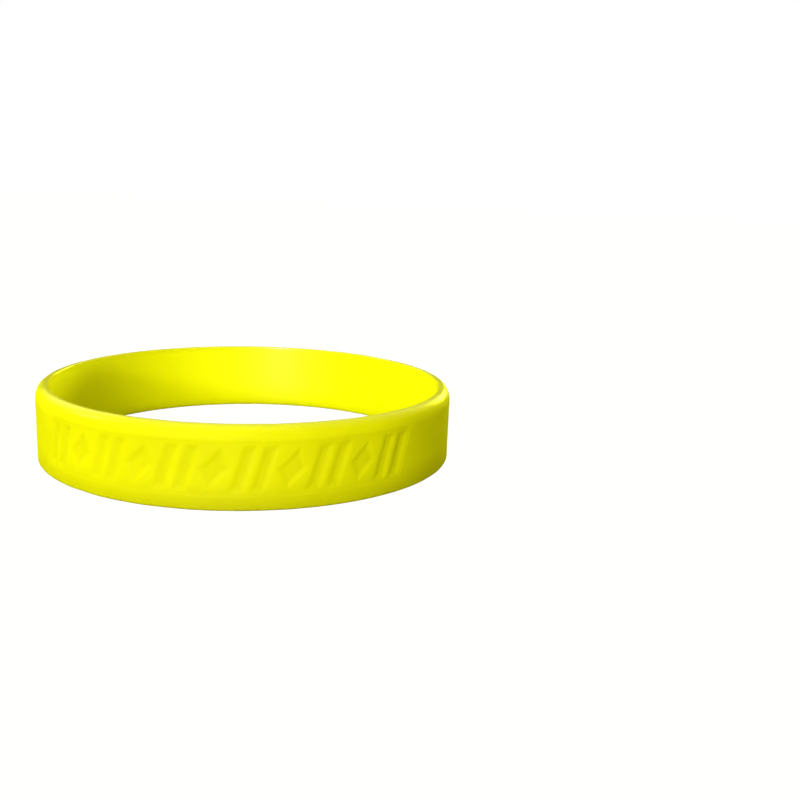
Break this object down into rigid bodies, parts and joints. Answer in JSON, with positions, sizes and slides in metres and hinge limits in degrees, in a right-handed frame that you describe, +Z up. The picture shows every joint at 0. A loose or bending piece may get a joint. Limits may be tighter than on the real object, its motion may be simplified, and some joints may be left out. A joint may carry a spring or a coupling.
{
  "type": "silicone wristband",
  "caption": "Moulded silicone bracelet: a seamless flexible ring with a softly rolled top edge and a sunken pattern of slanted bars and lozenges on its front.",
  "frame": {"origin": "centre of the ring on the surface that it lies on", "axes": "+Z up, along the axis of the wrist opening; -Y through the middle of the sunken pattern; +X to the right of the pattern as seen from the front"},
  "size_m": [0.0684, 0.0684, 0.012],
  "materials": {
    "silicone": "satin moulded silicone, bright yellow"
  },
  "bodies": {
    "root": {"band": "silicone"}
  },
  "joints": []
}
